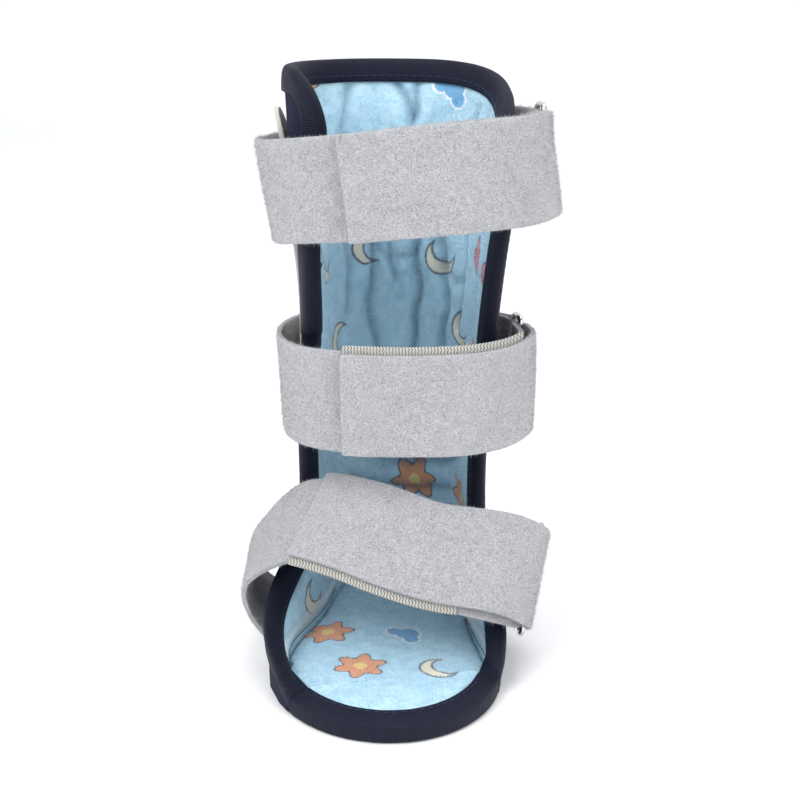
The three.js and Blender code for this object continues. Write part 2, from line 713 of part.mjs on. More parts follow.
const ON_WALL = SEWN_GAP + STRAP / 2;
const topStrap = strap({
  anchor: [besideWall(0, atHeight(178), 38, ON_WALL), besideWall(0, atHeight(178), 28, ON_WALL)],
  front: rowsToStations(
    [
      [-46, 12, 178.5, -4, 0, 38],
      [-49.4, -3, 179, -6, 0, 38],
      [-49, -18, 180, -6, 0, 38],
      [-41.5, -33, 182, -4, 0, 38],
      [-19, -44, 185, -2, 0, 38],
      [-4, -46.5, 187, -1, 0, 38],
      [12, -47, 189, -1, 0, 38],
      [30, -45, 190.3, -2, 0, 38],
      [43, -36, 190.8, -5, 0, 38],
      [49.5, -23, 190.6, -8, 0, 38],
      [51.5, -9, 189.8, -6, 0, 38],
    ],
    CALF_TURN,
  ),
  freeRow: 4,
  ring: ringPlan([51, 13, 188], [4, 0, 40], [-0.2, 0.98, 0], CALF_TURN),
  cells: [13, 14],
  slide: 0,
  tapeShare: 0.6,
});

const middleStrap = strap({
  anchor: [besideWall(0, atHeight(106), 37, ON_WALL), besideWall(0, atHeight(106), 28, ON_WALL)],
  front: rowsToStations(
    [
      [-42, 11, 106.5, -1, 0, 38],
      [-44.6, -4, 106.5, -2, 0, 38],
      [-43.4, -19, 106.5, -2, 0, 38],
      [-37, -32, 106.5, -1, 0, 38],
      [-19.4, -43, 107, 0, 0, 38],
      [-5, -45.5, 107.5, 0, 0, 38],
      [11, -46, 107.8, 0, 0, 38],
      [28, -43.5, 108.2, 0, 0, 38],
      [39, -35, 108.6, 0, 0, 38],
      [44.6, -22, 108.4, 0, 0, 38],
      [46.4, -9, 107.2, 0, 0, 38],
    ],
    CALF_TURN,
  ),
  freeRow: 4,
  ring: ringPlan([46, 12, 106], [1, 0, 40], [-0.2, 0.98, 0], CALF_TURN),
  cells: [12, 13],
  slide: 0,
  tapeShare: 0.75,
});

const instepStrap = strap({
  anchor: [besideWall(0, atHeight(6.5), -20, ON_WALL + 1.8, 90)],
  front: rowsToStations(
    [
      [-45.6, -20, 12, 0.16, 0.98, 0],
      [-50.6, -20.5, 16.8, 0.08, 1, 0],
      [-54.8, -20.5, 22, -0.03, 1, 0],
      [-56.9, -21, 28, -0.1, 0.98, 0.05],
      [-55.6, -22, 35.5, -0.12, 0.97, 0.1],
      [-50.2, -24, 42.2, -0.1, 0.95, 0.2],
      [-43.7, -27, 49, -0.08, 0.92, 0.32],
      [-36.2, -32, 55, -0.02, 0.86, 0.48],
      [-29, -35.6, 57.8, 0.08, 0.8, 0.56],
      [-14, -41, 57.5, 0.04, 0.74, 0.66],
      [0, -44.6, 54.5, 0.02, 0.68, 0.73],
      [18.5, -46.8, 49.3, 0.05, 0.63, 0.77],
      [33, -45.3, 45.6, 0.08, 0.56, 0.82],
      [44, -41, 42, 0.12, 0.5, 0.86],
    ],
    0,
  ),
  freeRow: 8,
  ring: ringPlan([54, -22, 32], [0.15, 0.36, 0.92], [-0.1, 0.93, -0.36], 0),
  cells: [15, 13],
  slide: 2.8,
  tapeShare: 0.7,
});

// Cloth tab of a ring: sewn to the right panel, round the ring's back bar and back on itself
function ringTab(frame, places, tilt) {
  const fold = foldStations(frame, -1, TAB);
  const seat = ([z, y], stand) => besideWall(1, atHeight(z), y, stand, tilt);
  const under = places.map((place) => seat(place, SEWN_GAP + TAB / 2));
  const over = [...places].reverse().map((place) => seat(place, SEWN_GAP + TAB * 1.5 + GAP));
  const leadIn = { p: fold[0].p.clone().addScaledVector(frame.b, 2), w: frame.u.clone() };
  const leadOut = { p: fold[FOLD_STEPS].p.clone().addScaledVector(frame.b, 2), w: frame.u.clone() };
  const into = run([...under, leadIn], 6);
  const out = run([leadOut, ...over], 6);
  return ribbon([...into, ...fold, ...out], STRAP_WIDTH, TAB);
}

// Plate on the outside of the left panel, with rounded ends and its top standing off the cloth
function sideStay() {
  const steps = 14;
  const rings = [];
  for (let i = 0; i <= steps; i += 1) {
    const s = i / steps;
    const z = STAY_FOOT + (STAY_TOP - STAY_FOOT) * (0.5 - 0.5 * Math.cos(Math.PI * s));
    const half = STAY_WIDTH / 2;
    const toEnd = Math.min(z - STAY_FOOT, STAY_TOP - z, half);
    const wide = Math.max(2, Math.sqrt(half ** 2 - (half - toEnd) ** 2));
    const lift = STAY_LIFT * smooth((z - STAY_BEND) / (STAY_TOP - STAY_BEND));
    const columns = [-1, -0.5, 0, 0.5, 1];
    const outer = columns.map((c) => besideWall(0, z, STAY_CENTRE + c * wide, GAP + STAY + lift, 0, 4).p);
    const inner = columns.map((c) => besideWall(0, z, STAY_CENTRE + c * wide, GAP + lift, 0, 4).p);
    rings.push([...outer, ...inner.reverse()]);
  }
  return skin(rings, { flip: (k) => k > 4 });
}

// Looks
const cloth = (color) => new THREE.MeshStandardMaterial({ color, roughness: 0.92, metalness: 0 });
const NAVY = 0x23263c;
const LINING = 0xa9cddd;
const GREY = 0xcfcfd2;
const HOOK = 0xcfc6b8;
const metal = new THREE.MeshStandardMaterial({ color: 0xb9b6ae, roughness: 0.28, metalness: 1 });

const group = new THREE.Group();
function add(name, geometry, material) {
  geometry.computeVertexNormals();
  const mesh = new THREE.Mesh(geometry, material.clone());
  mesh.name = name;
  group.add(mesh);
}

add("outer_shell", outerShell, cloth(NAVY));
add("upper_lining", upperLining, cloth(LINING));
add("footbed_lining", footbedLining, cloth(LINING));
add("upper_binding", upperBinding, cloth(NAVY));
add("toe_binding", toeBinding, cloth(NAVY));
add("side_stay", sideStay(), new THREE.MeshStandardMaterial({ color: 0xdcdcd6, roughness: 0.5 }));

const straps = [
  { name: "top", made: topStrap, tabPlaces: [[188, 41], [188, 34]], tabTilt: 0, tapeShift: 0 },
  { name: "middle", made: middleStrap, tabPlaces: [[106, 41], [106, 33]], tabTilt: 0, tapeShift: 3.2 },
  { name: "instep", made: instepStrap, tabPlaces: [[21, 20], [25, 8]], tabTilt: 21, tapeShift: -3.4 },
];
const TAPE_LIFT = STRAP / 2 + TAPE_GAP + TAPE / 2;
straps.forEach(({ name, made, tabPlaces, tabTilt, tapeShift }) => {
  const tape = { shift: tapeShift, lift: TAPE_LIFT };
  add("strap_" + name, ribbon(made.stations, STRAP_WIDTH, STRAP), cloth(GREY));
  add("hook_tape_" + name, ribbon(made.tapeStations, STRAP_WIDTH - 1, TAPE, tape), cloth(HOOK));
  add("ring_" + name, wireRing(made.ring), metal);
  add("ring_tab_" + name, ringTab(made.ring, tabPlaces, tabTilt), cloth(GREY));
});

export default group;
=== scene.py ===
"""Looks of a child's padded ankle-foot splint boot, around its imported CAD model."""

import math

import bmesh
import bpy
import numpy as np
from mathutils import Matrix, Vector, noise
from mathutils.bvhtree import BVHTree
from mathutils.kdtree import KDTree


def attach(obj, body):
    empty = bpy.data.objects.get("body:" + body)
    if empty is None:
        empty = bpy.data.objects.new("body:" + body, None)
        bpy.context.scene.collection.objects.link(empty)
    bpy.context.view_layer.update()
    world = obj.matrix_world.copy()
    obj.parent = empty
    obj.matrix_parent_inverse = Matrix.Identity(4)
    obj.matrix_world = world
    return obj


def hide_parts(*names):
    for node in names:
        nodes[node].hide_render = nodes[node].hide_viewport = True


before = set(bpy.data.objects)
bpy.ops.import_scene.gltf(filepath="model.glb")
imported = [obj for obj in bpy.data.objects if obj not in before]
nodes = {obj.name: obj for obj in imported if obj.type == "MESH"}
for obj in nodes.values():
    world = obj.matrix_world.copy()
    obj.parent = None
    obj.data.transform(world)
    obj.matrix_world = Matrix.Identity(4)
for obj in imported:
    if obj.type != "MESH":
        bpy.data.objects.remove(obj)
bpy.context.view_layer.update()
scene = bpy.context.scene
MM = 0.001

# Camera, fitted to the photograph
AZIMUTH = 5.5
DISTANCE = 583 * MM
EYE_HEIGHT = 266 * MM
SIDE_STEP = 0.5 * MM
PITCH = 16.3
ROLL = 0.5
SENSOR = 36.0
LENS = 1550 / 800 * SENSOR

# Cloth coordinates run round the wall from the middle of the back, in mm
BEND_RADIUS = 42.0
BEND_LENGTH = BEND_RADIUS * math.pi / 2

# Creases on the inside of the wall. Depth and width are in mm, and points are places on the
# cloth (round the wall, height). Each crease also gets painted shade in the lining's colour,
# darkest for a crease of the full depth.
CREASES = {
    "columns": ("depth", "width", "points"),
    "full": 2.4,
    "rows": [
        (2.2, 1.7, [(-8, 226), (-4, 212), (0, 200)]),
        (2.0, 1.6, [(4, 226), (2, 210), (0, 200), (1, 186)]),
        (2.6, 1.7, [(5, 172), (3, 150), (4, 128), (2, 104)]),
        (1.5, 1.4, [(-7, 166), (-8, 150), (-6, 136)]),
        (2.3, 1.7, [(10, 168), (15, 148), (18, 124), (16, 100)]),
        (2.0, 1.7, [(-18, 172), (-15, 152), (-17, 126), (-13, 106)]),
        (1.5, 1.5, [(27, 168), (30, 146), (27, 120)]),
        (1.5, 1.6, [(-30, 160), (-27, 140), (-29, 122)]),
        (1.3, 1.3, [(-15, 150), (-8, 144), (3, 146)]),
        (1.3, 1.3, [(16, 142), (24, 136), (29, 138)]),
        (2.2, 1.8, [(-4, 102), (-9, 86), (-7, 70)]),
        (2.0, 1.7, [(8, 100), (14, 84), (12, 66)]),
        (1.8, 1.6, [(-22, 92), (-18, 78), (-20, 66)]),
        (2.2, 2.2, [(-40, 72), (-20, 61), (0, 56), (20, 60), (40, 70)]),
        (1.7, 1.7, [(-26, 52), (-12, 46), (4, 44), (20, 48)]),
        (1.4, 1.6, [(30, 206), (26, 186), (29, 166)]),
        (1.3, 1.6, [(-24, 214), (-28, 196), (-25, 178)]),
        (1.3, 1.6, [(-66, 50), (-80, 36), (-96, 26)]),
        (1.3, 1.6, [(66, 48), (82, 34), (98, 25)]),
    ],
}
RIM_FOOT = 216.0
WALL_HEIGHT = 226.0

# Slow dents that all layers of the wall share: their width and depth, how they stretch upward,
# and how they fade near the sole and the top, where a least share stays. Lengths are in mm.
DENT_WIDTH = 34
DENT_DEPTH = 0.5
DENT_STRETCH = np.array([1, 1, 0.6])
DENT_FOOT = 12
DENT_RAMP = 30
DENT_LEAST = 0.35

# A crease wanders over its line, and the plush swells beside it. The swelling's place, width
# and height are shares of the crease's.
WANDER_WIDTH = 12
WANDER = 2.0
SWELLING_PLACE = 3.2
SWELLING_WIDTH = 1.8
SWELLING_HEIGHT = 0.5

# The plush's creases fade toward the sole and under the rim's tape, over these heights in mm
PLUSH_RAMP = 12
PLUSH_START = 0.9
RIM_RAMP = 4
BED_LIMIT = 0.4

# Print of the lining: its cell in mm, the outline and soft edge of a motif and how far it
# strays as shares of the cell, its turn in radians, and the share of the cells that hold one
PRINT_CELL = 33.0
PRINT_OUTLINE = 0.016
SOFT_EDGE = 0.012
PRINT_JITTER = 0.2
PRINT_TURN = 1.8
PRINT_SHARE = 0.72

# Weave of the tapes in mm: ribs along them, picks across them, and the hooks' rows and pitch
RIB_PITCH = 1.05
PICK_PITCH = 0.5
HOOK_ROW = 1.5
HOOK_PITCH = 1.15

# Middle of the toe's round, and the mean reach of its tape, in mm
TOE_MIDDLE = (3.0, -55.0)
TOE_REACH = 45.0

# Edge tape: the angle of its sharp edges in degrees, the heights in mm below which its foot
# begins and a toe corner's fold takes it in, and the angle in radians of the toe tape's end
# that the fold takes in
TAPE_CREASE_ANGLE = 75
TAPE_FOOT = 10.4
FOLD_TOP = 11.2
FOLD_ANGLE = 0.035

# The upper tape's end, which overlaps the lower tape on the left edge, in mm
OVERLAP_BOTTOM = 127.0
OVERLAP_TOP = 186.0
OVERLAP_THICKNESS = 0.45

# Waves of the straps and of the hook tape between their layers, in mm
STRAP_WAVE = 0.55
WAVE_WIDTH = 26

# Stitches: pitch in mm, and the share of it that a stitch takes
TAPE_STITCH = (3.2, 0.8)
OVERLOCK_LINE = (2.0, 0.97)
FOOTBED_STITCH = (2.4, 0.85)

# Lines are laid on a surface by rays: how far before it they start and how long they are, for
# the edge tape's seams, the wall and the toe tape, in mm
SEAM_PITCH = 3
SEAM_BACK = 14
SEAM_RAY = 30
WALL_RAY = 80
TOE_START = 30
TOE_RAY = 40

# Threads: radius in mm, and the share of it that their ends keep
THREAD_END = 0.45
TAPE_THREAD = 0.18
OVERLOCK_THREAD = 0.27
FOOTBED_THREAD = 0.2
BAR_THREAD = 0.3

# Seam between wall and footbed: where it runs along the foot, the step between its rungs, and
# the heights of its two lines, in mm
SEAM_START = -76.0
SEAM_END = 12.0
SEAM_STEP = 1.3
SEAM_LOW = 10.2
SEAM_HIGH = 14.6
SEAM_LEAN = 0.6
SEAM_LIFT = 0.45

# Bar stitch that holds the lining to the edge tape, in mm
BAR_HEIGHT = 150.6
BAR_PLACES = (-22.0, -16.0, -9.0)
BAR_PITCH = 0.3
BAR_LIFT = 0.8

# Stitches on the toe tape: steps round the toe, the angle that each looks over, the height of
# the tape's upper side, and how far outside its inner edge and above it they lie, in mm
TOE_STEPS = 26
TOE_WINDOW = 0.14
TOE_UPPER = 8.6
TOE_INSET = 1.7
TOE_LIFT = 0.12

# Short fibres: their length and width in mm, how far they lean, how many there are, and how
# far from the middle of the edge tape they begin, in mm
PLUSH_PILE = {"length": 0.75, "width": 0.2}
LOOP_PILE = {"length": 1.15, "width": 0.13}
PILE_LEAN = 0.6
WALL_FIBRES = 90000
FOOTBED_FIBRES = 40000
STRAP_FIBRES = 48000
TAB_FIBRES = 9000
UNDER_TAPE = 8.5


def srgb(r, g, b, a=1.0):
    """A linear colour from an 8-bit screen colour."""
    linear = [c / 255 / 12.92 if c < 11 else ((c / 255 + 0.055) / 1.055) ** 2.4 for c in (r, g, b)]
    return (*linear, a)


COLOURS = {
    "lining": srgb(196, 230, 244),
    "lining_shade": srgb(166, 208, 229),
    # Painted shade that darkens the lining in its creases
    "lining_crease_shade": srgb(70, 112, 142),
    "outline": srgb(62, 70, 98),
    "petal": srgb(232, 148, 78),
    "petal_heart": srgb(246, 214, 110),
    "heart": srgb(226, 108, 122),
    "cloud": srgb(92, 166, 214),
    "moon": srgb(240, 232, 206),
    "star": srgb(238, 178, 192),
    "white": srgb(244, 246, 248),
    "strap": srgb(203, 203, 206),
    "strap_shade": srgb(134, 134, 139),
    "navy": srgb(15, 19, 40),
    "navy_light": srgb(28, 35, 66),
    # Painted highlight on the tape's rib tops and painted shade in the grooves between them
    "navy_rib_light": srgb(24, 28, 52),
    "navy_groove_shade": srgb(8, 10, 22),
    "hook": srgb(192, 190, 184),
    "hook_dark": srgb(84, 78, 70),
    "thread_pale": srgb(226, 236, 242),
    "thread_navy": srgb(44, 50, 84),
    "thread_dark": srgb(16, 18, 34),
    "metal": (0.66, 0.64, 0.6, 1.0),
    "stay": srgb(214, 214, 206),
    "floor": (0.93, 0.93, 0.93, 1.0),
}


class Value:
    """A shader socket with arithmetic."""

    def __init__(self, shader, socket):
        self.shader = shader
        self.socket = socket

    def math(self, operation, *others):
        return self.shader.math(operation, self, *others)

    def __add__(self, other):
        return self.math("ADD", other)

    __radd__ = __add__

    def __mul__(self, other):
        return self.math("MULTIPLY", other)

    __rmul__ = __mul__

    def __sub__(self, other):
        return self.math("SUBTRACT", other)

    def __rsub__(self, other):
        return self.shader.math("SUBTRACT", other, self)

    def __truediv__(self, other):
        return self.math("DIVIDE", other)

    def __rtruediv__(self, other):
        return self.shader.math("DIVIDE", other, self)

    def __pow__(self, other):
        return self.math("POWER", other)

    def __abs__(self):
        return self.math("ABSOLUTE")

    def __neg__(self):
        return self.math("MULTIPLY", -1)


class Shader:
    """A Principled material built by code."""

    def __init__(self, name):
        self.material = bpy.data.materials.new(name)
        self.material.use_nodes = True
        self.tree = self.material.node_tree
        self.tree.nodes.clear()

    def node(self, kind, settings=None, inputs=(), output=0):
        made = self.tree.nodes.new(kind)
        for key, value in (settings or {}).items():
            setattr(made, key, value)
        pairs = inputs.items() if isinstance(inputs, dict) else enumerate(inputs)
        for key, value in pairs:
            if isinstance(value, Value):
                self.tree.links.new(value.socket, made.inputs[key])
            else:
                made.inputs[key].default_value = value
        return Value(self, made.outputs[output]) if made.outputs else None

    def math(self, operation, *values):
        return self.node("ShaderNodeMath", {"operation": operation}, values)

    def clamped(self, value):
        return self.node("ShaderNodeClamp", {}, [value])

    def mixed(self, factor, a, b):
        return self.node("ShaderNodeMix", {"data_type": "RGBA"}, {0: factor, 6: a, 7: b}, 2)

    def vector(self, x, y, z=0.0):
        return self.node("ShaderNodeCombineXYZ", {}, [x, y, z])

    def parts(self, vector):
        split = self.node("ShaderNodeSeparateXYZ", {}, [vector])
        outputs = split.socket.node.outputs
        return [Value(self, outputs[k]) for k in range(3)]

    def place(self):
        """Position on the object, in metres."""
        return self.node("ShaderNodeTexCoord", {}, (), "Object")

    def cloth(self, layer="cloth"):
        """Cloth coordinates, in mm, or another layer of values on the cloth."""
        return self.node("ShaderNodeUVMap", {"uv_map": layer})

    def noise(self, where, scale, detail=3.0, rough=0.55):
        inputs = {"Vector": where, "Scale": scale, "Detail": detail, "Roughness": rough}
        return self.node("ShaderNodeTexNoise", {}, inputs)

    def length(self, x, y):
        return (x * x + y * y) ** 0.5

    def finish(self, colour, roughness, height=None, depth=0.001, normal_strength=1.0, **uniform):
        inputs = {"Base Color": colour, "Roughness": roughness}
        if height is not None:
            bump = {"Strength": normal_strength, "Distance": depth, "Height": height}
            inputs["Normal"] = self.node("ShaderNodeBump", {}, bump)
        inputs.update(uniform)
        surface = self.node("ShaderNodeBsdfPrincipled", {}, inputs)
        self.node("ShaderNodeOutputMaterial", {}, {"Surface": surface})
        return self.material


def motif_layers(s, spot):
    """Masks of the printed motifs and of their outlines at a cloth position in mm, and the
    colours of both. The sizes of the motifs are shares of the print's cell."""
    x, y, _ = s.parts(spot)
    gx = x / PRINT_CELL
    gy = y / PRINT_CELL
    row = gy.math("FLOOR")
    gx = gx + row.math("MODULO", 2) * 0.5
    column = gx.math("FLOOR")
    address = s.vector(column, row, 3.7)
    pick = s.node("ShaderNodeTexWhiteNoise", {}, {"Vector": address})
    draws = s.node("ShaderNodeTexWhiteNoise", {}, {"Vector": address}, "Color")
    r1, r2, r3 = s.parts(draws)
    fx = gx - column - 0.5 + (r1 - 0.5) * PRINT_JITTER
    fy = gy - row - 0.5 + (r2 - 0.5) * PRINT_JITTER
    turn = (r3 - 0.5) * PRINT_TURN
    cosine = turn.math("COSINE")
    sine = turn.math("SINE")
    qx = fx * cosine - fy * sine
    qy = fx * sine + fy * cosine
    r = s.length(qx, qy)
    angle = qy.math("ARCTAN2", qx)
    petals = (angle * 6).math("COSINE") * 0.055 + 0.25
    across = abs(qx) / 0.21
    upright = qy / 0.21 - (across ** 0.5) * 0.75 + 0.2
    points = abs((angle * 2.5).math("COSINE")) * 0.11 + 0.12
    puffs = [(-0.14, -0.04, 0.105), (0.0, 0.04, 0.15), (0.15, -0.03, 0.1)]
    puff_edges = [s.length(qx - px, qy - py) - radius for px, py, radius in puffs]
    shapes = {
        "daisy": r - petals,
        "heart": (s.length(across, upright) - 1) * 0.21,
        "cloud": puff_edges[0].math("MINIMUM", puff_edges[1]).math("MINIMUM", puff_edges[2]),
        "moon": (r - 0.22).math("MAXIMUM", 0.19 - s.length(qx - 0.11, qy - 0.05)),
        "star": r - points,
    }
    fills = {
        "daisy": (COLOURS["petal"], COLOURS["outline"]),
        "heart": (COLOURS["heart"], COLOURS["outline"]),
        "cloud": (COLOURS["cloud"], COLOURS["white"]),
        "moon": (COLOURS["moon"], COLOURS["outline"]),
        "star": (COLOURS["star"], COLOURS["white"]),
    }
    floors = {"daisy": 0.0, "heart": 0.26, "cloud": 0.48, "moon": 0.68, "star": 0.84}
    edge = shapes["daisy"]
    fill = fills["daisy"][0]
    line = fills["daisy"][1]
    for name in ("heart", "cloud", "moon", "star"):
        past = pick.math("GREATER_THAN", floors[name])
        edge = edge + (shapes[name] - edge) * past
        fill = s.mixed(past, fill, fills[name][0])
        line = s.mixed(past, line, fills[name][1])
    is_daisy = pick.math("LESS_THAN", floors["heart"])
    middle = s.clamped((0.085 - r) / SOFT_EDGE) * is_daisy
    fill = s.mixed(middle, fill, COLOURS["petal_heart"])
    other_address = s.vector(column, row, 9.2)
    other_draws = s.node("ShaderNodeTexWhiteNoise", {}, {"Vector": other_address}, "Color")
    shown = s.parts(other_draws)[0].math("LESS_THAN", PRINT_SHARE)
    inside = s.clamped(0.5 - edge / SOFT_EDGE) * shown
    rim = s.clamped(1.4 - abs(edge) / PRINT_OUTLINE) * shown
    return inside, rim, fill, line


def lining_material():
    s = Shader("lining_cloth")
    place = s.place()
    fine = {"Vector": place, "Scale": 900.0, "Detail": 2.0}
    waver = s.node("ShaderNodeTexNoise", {}, fine, "Color")
    shift = s.node("ShaderNodeVectorMath", {"operation": "SUBTRACT"}, [waver, (0.5, 0.5, 0.5)])
    moved = s.node("ShaderNodeVectorMath", {"operation": "MULTIPLY"}, [shift, (0.7, 0.7, 0)])
    spot = s.node("ShaderNodeVectorMath", {"operation": "ADD"}, [s.cloth(), moved])
    inside, rim, fill, line = motif_layers(s, spot)
    pile = s.noise(place, 1500.0, rough=0.7)
    clumps = s.noise(place, 260.0)
    ground = s.mixed(s.clamped(clumps * 2.2 - 0.6), COLOURS["lining_shade"], COLOURS["lining"])
    colour = s.mixed(inside * 0.85, ground, fill)
    colour = s.mixed(rim * 0.85, colour, line)
    colour = s.mixed(s.clamped(pile * 1.8 - 0.75) * 0.3, colour, COLOURS["white"])
    # Painted shade: the lining's colour is darkened in its creases
    groove_and_shade = s.parts(s.cloth("groove_and_shade"))[0]
    colour = s.mixed(s.clamped(groove_and_shade) * 0.6, colour, COLOURS["lining_crease_shade"])
    height = pile * 0.6 + clumps
    uniform = {"Sheen Weight": 0.45, "Sheen Roughness": 0.5}
    return s.finish(colour, 0.95, height, depth=0.0009, normal_strength=0.55, **uniform)


def brushed_material(name, light, dark, sheen):
    """Loop cloth with a brushed, matted surface."""
    s = Shader(name)
    place = s.place()
    hairs = s.noise(place, 1900.0, detail=4.0, rough=0.75)
    clumps = s.noise(place, 330.0, detail=4.0, rough=0.65)
    patches = s.noise(place, 60.0, detail=2.0)
    shade = s.clamped(hairs * 3.4 + clumps * 0.25 + patches * 0.2 - 1.3)
    colour = s.mixed(shade, dark, light)
    height = hairs + clumps * 0.35
    uniform = {"Sheen Weight": sheen, "Sheen Roughness": 0.45, "Specular IOR Level": 0.15}
    return s.finish(colour, 0.95, height, depth=0.0011, normal_strength=0.7, **uniform)


def ribbed_material():
    s = Shader("binding_tape")
    x, y, _ = s.parts(s.cloth())
    ribs = (x * (2 * math.pi / RIB_PITCH)).math("SINE") * 0.5 + 0.5
    picks = (y * (2 * math.pi / PICK_PITCH)).math("SINE") * 0.5 + 0.5
    wear = s.noise(s.place(), 180.0)
    # Painted light and shade: rib tops lighter and the grooves between them darker, mixed with
    # random wear
    colour = s.mixed(ribs * 0.5 + wear * 0.5, COLOURS["navy_groove_shade"], COLOURS["navy_rib_light"])
    height = ribs + picks * 0.25
    uniform = {"Specular IOR Level": 0.22}
    return s.finish(colour, 0.6, height, depth=0.00025, normal_strength=0.7, **uniform)


def hook_material():
    s = Shader("hook_tape")
    x, _, z = s.parts(s.place())
    row = z * 1000 / HOOK_ROW
    lean = abs(row - row.math("FLOOR") - 0.5) * 2
    chevron = (x * 1000 * (2 * math.pi / HOOK_PITCH) + lean * 2.6).math("SINE")
    mark = s.clamped(chevron * 1.6 - 0.3)
    grain = s.noise(s.place(), 1400.0, rough=0.7)
    colour = s.mixed(mark * 0.75, COLOURS["hook"], COLOURS["hook_dark"])
    height = grain + mark * 0.5
    return s.finish(colour, 0.6, height, depth=0.0007, normal_strength=0.8)


def plain_material(name, colour, roughness, metallic=0.0, grain=0.0):
    s = Shader(name)
    height = s.noise(s.place(), 900.0, detail=2.0) if grain else None
    return s.finish(colour, roughness, height, grain, normal_strength=0.5, Metallic=metallic)


materials = {
    "lining_cloth": lining_material(),
    "strap_cloth": brushed_material(
        "strap_cloth", COLOURS["strap"], COLOURS["strap_shade"], sheen=0.35
    ),
    "shell_cloth": brushed_material(
        "shell_cloth", COLOURS["navy_light"], COLOURS["navy"], sheen=0.05
    ),
    "binding_tape": ribbed_material(),
    "hook_tape": hook_material(),
    "ring_metal": plain_material("ring_metal", COLOURS["metal"], 0.2, metallic=1.0),
    "stay_plastic": plain_material("stay_plastic", COLOURS["stay"], 0.45, grain=0.0002),
    "thread_pale": plain_material("thread_pale", COLOURS["thread_pale"], 0.7),
    "thread_navy": plain_material("thread_navy", COLOURS["thread_navy"], 0.7),
    "thread_dark": plain_material("thread_dark", COLOURS["thread_dark"], 0.8),
}


def points_of(mesh):
    flat = np.empty(len(mesh.vertices) * 3)
    mesh.vertices.foreach_get("co", flat)
    return flat.reshape(-1, 3)


def set_points(mesh, points):
    mesh.vertices.foreach_set("co", points.ravel())
    mesh.update()


def normals_of(mesh):
    flat = np.empty(len(mesh.vertices) * 3)
    mesh.vertices.foreach_get("normal", flat)
    return flat.reshape(-1, 3)


def merged_cage(node, crease_angle, crease):
    """The node's mesh as quads, with its sharp edges creased."""
    bm = bmesh.new()
    bm.from_mesh(nodes[node].data)
    bmesh.ops.remove_doubles(bm, verts=bm.verts, dist=0.02 * MM)
    bmesh.ops.join_triangles(
        bm, faces=bm.faces, angle_face_threshold=math.radians(35), angle_shape_threshold=math.pi
    )
    layer = bm.edges.layers.float.new("crease_edge")
    for edge in bm.edges:
        if len(edge.link_faces) == 2 and edge.calc_face_angle(0) > math.radians(crease_angle):
            edge[layer] = crease
    mesh = bpy.data.meshes.new(node)
    bm.to_mesh(mesh)
    bm.free()
    return mesh


def subdivided(mesh, levels, kind="CATMULL_CLARK"):
    holder = bpy.data.objects.new("holder", mesh)
    scene.collection.objects.link(holder)
    modifier = holder.modifiers.new("finer", "SUBSURF")
    modifier.levels = levels
    modifier.subdivision_type = kind
    graph = bpy.context.evaluated_depsgraph_get()
    made = bpy.data.meshes.new_from_object(holder.evaluated_get(graph))
    bpy.data.objects.remove(holder)
    return made


def set_cloth(mesh, coordinates, name="cloth"):
    """Cloth coordinates of each vertex, as a UV map."""
    layer = mesh.uv_layers.get(name) or mesh.uv_layers.new(name=name)
    corners = np.empty(len(mesh.loops), dtype=int)
    mesh.loops.foreach_get("vertex_index", corners)
    layer.data.foreach_set("uv", np.asarray(coordinates)[corners].ravel())


def added(name, mesh, slot, material=None, replaced=()):
    mesh.materials.clear()
    mesh.materials.append(materials[material or slot])
    mesh.polygons.foreach_set("use_smooth", [True] * len(mesh.polygons))
    made = bpy.data.objects.new(name, mesh)
    scene.collection.objects.link(made)
    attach(made, "root")
    if replaced:
        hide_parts(*replaced)
    return made


def outward_of(points):
    """Horizontal direction out of the boot's wall."""
    flat = points.copy()
    flat[:, 2] = 0
    flat[:, 1] = np.maximum(flat[:, 1], 0)
    length = np.linalg.norm(flat, axis=1)
    return flat / np.maximum(length, 1e-6)[:, None]


def round_wall(points):
    """Distance round the wall from the middle of the back, in mm."""
    x = points[:, 0] / MM
    y = points[:, 1] / MM
    behind = BEND_RADIUS * np.arctan2(np.abs(x), np.maximum(y, 0))
    ahead = BEND_LENGTH - y
    return np.sign(x) * np.where(y > 0, behind, ahead)


def wall_cloth(points):
    return np.stack([round_wall(points), points[:, 2] / MM], axis=1)


def swell(points, size, seed):
    """Smooth noise at each point. size is the width of a swelling in mm."""
    start = Vector((seed * 7.1, seed * 3.3, seed * 1.7))
    return np.array([noise.noise(Vector(p) / (size * MM) + start) for p in points])


def crumpled(points):
    """The slow dents that all layers of the wall share."""
    height = points[:, 2] / MM
    fade = np.clip((height - DENT_FOOT) / DENT_RAMP, 0, 1)
    fade *= np.clip((WALL_HEIGHT - height) / DENT_RAMP, DENT_LEAST, 1)
    return swell(points * DENT_STRETCH, DENT_WIDTH, 1) * DENT_DEPTH * fade * MM


def creased(points):
    """How strongly painted shade darkens each point in a crease, from 0 to 1, and the crease's
    depth in mm with the swelling beside it."""
    spots = wall_cloth(points)
    spots[:, 0] += swell(points, WANDER_WIDTH, 8) * WANDER
    crease_shade = np.zeros(len(points))
    total = np.zeros(len(points))
    for depth, width, line in CREASES["rows"]:
        nearest = np.full(len(points), 1e9)
        for (ax, az), (bx, bz) in zip(line, line[1:]):
            along = np.array([bx - ax, bz - az])
            from_a = spots - np.array([ax, az])
            t = np.clip(from_a @ along / (along @ along), 0, 1)
            gap = np.linalg.norm(from_a - t[:, None] * along, axis=1)
            nearest = np.minimum(nearest, gap)
        groove_and_shade = np.exp(-((nearest / width) ** 2))
        beside = nearest - SWELLING_PLACE * width
        swelling = np.exp(-((beside / (SWELLING_WIDTH * width)) ** 2))
        crease_shade = np.maximum(crease_shade, groove_and_shade * min(1, depth / CREASES["full"]))
        total += depth * (groove_and_shade - SWELLING_HEIGHT * swelling)
    return crease_shade, total


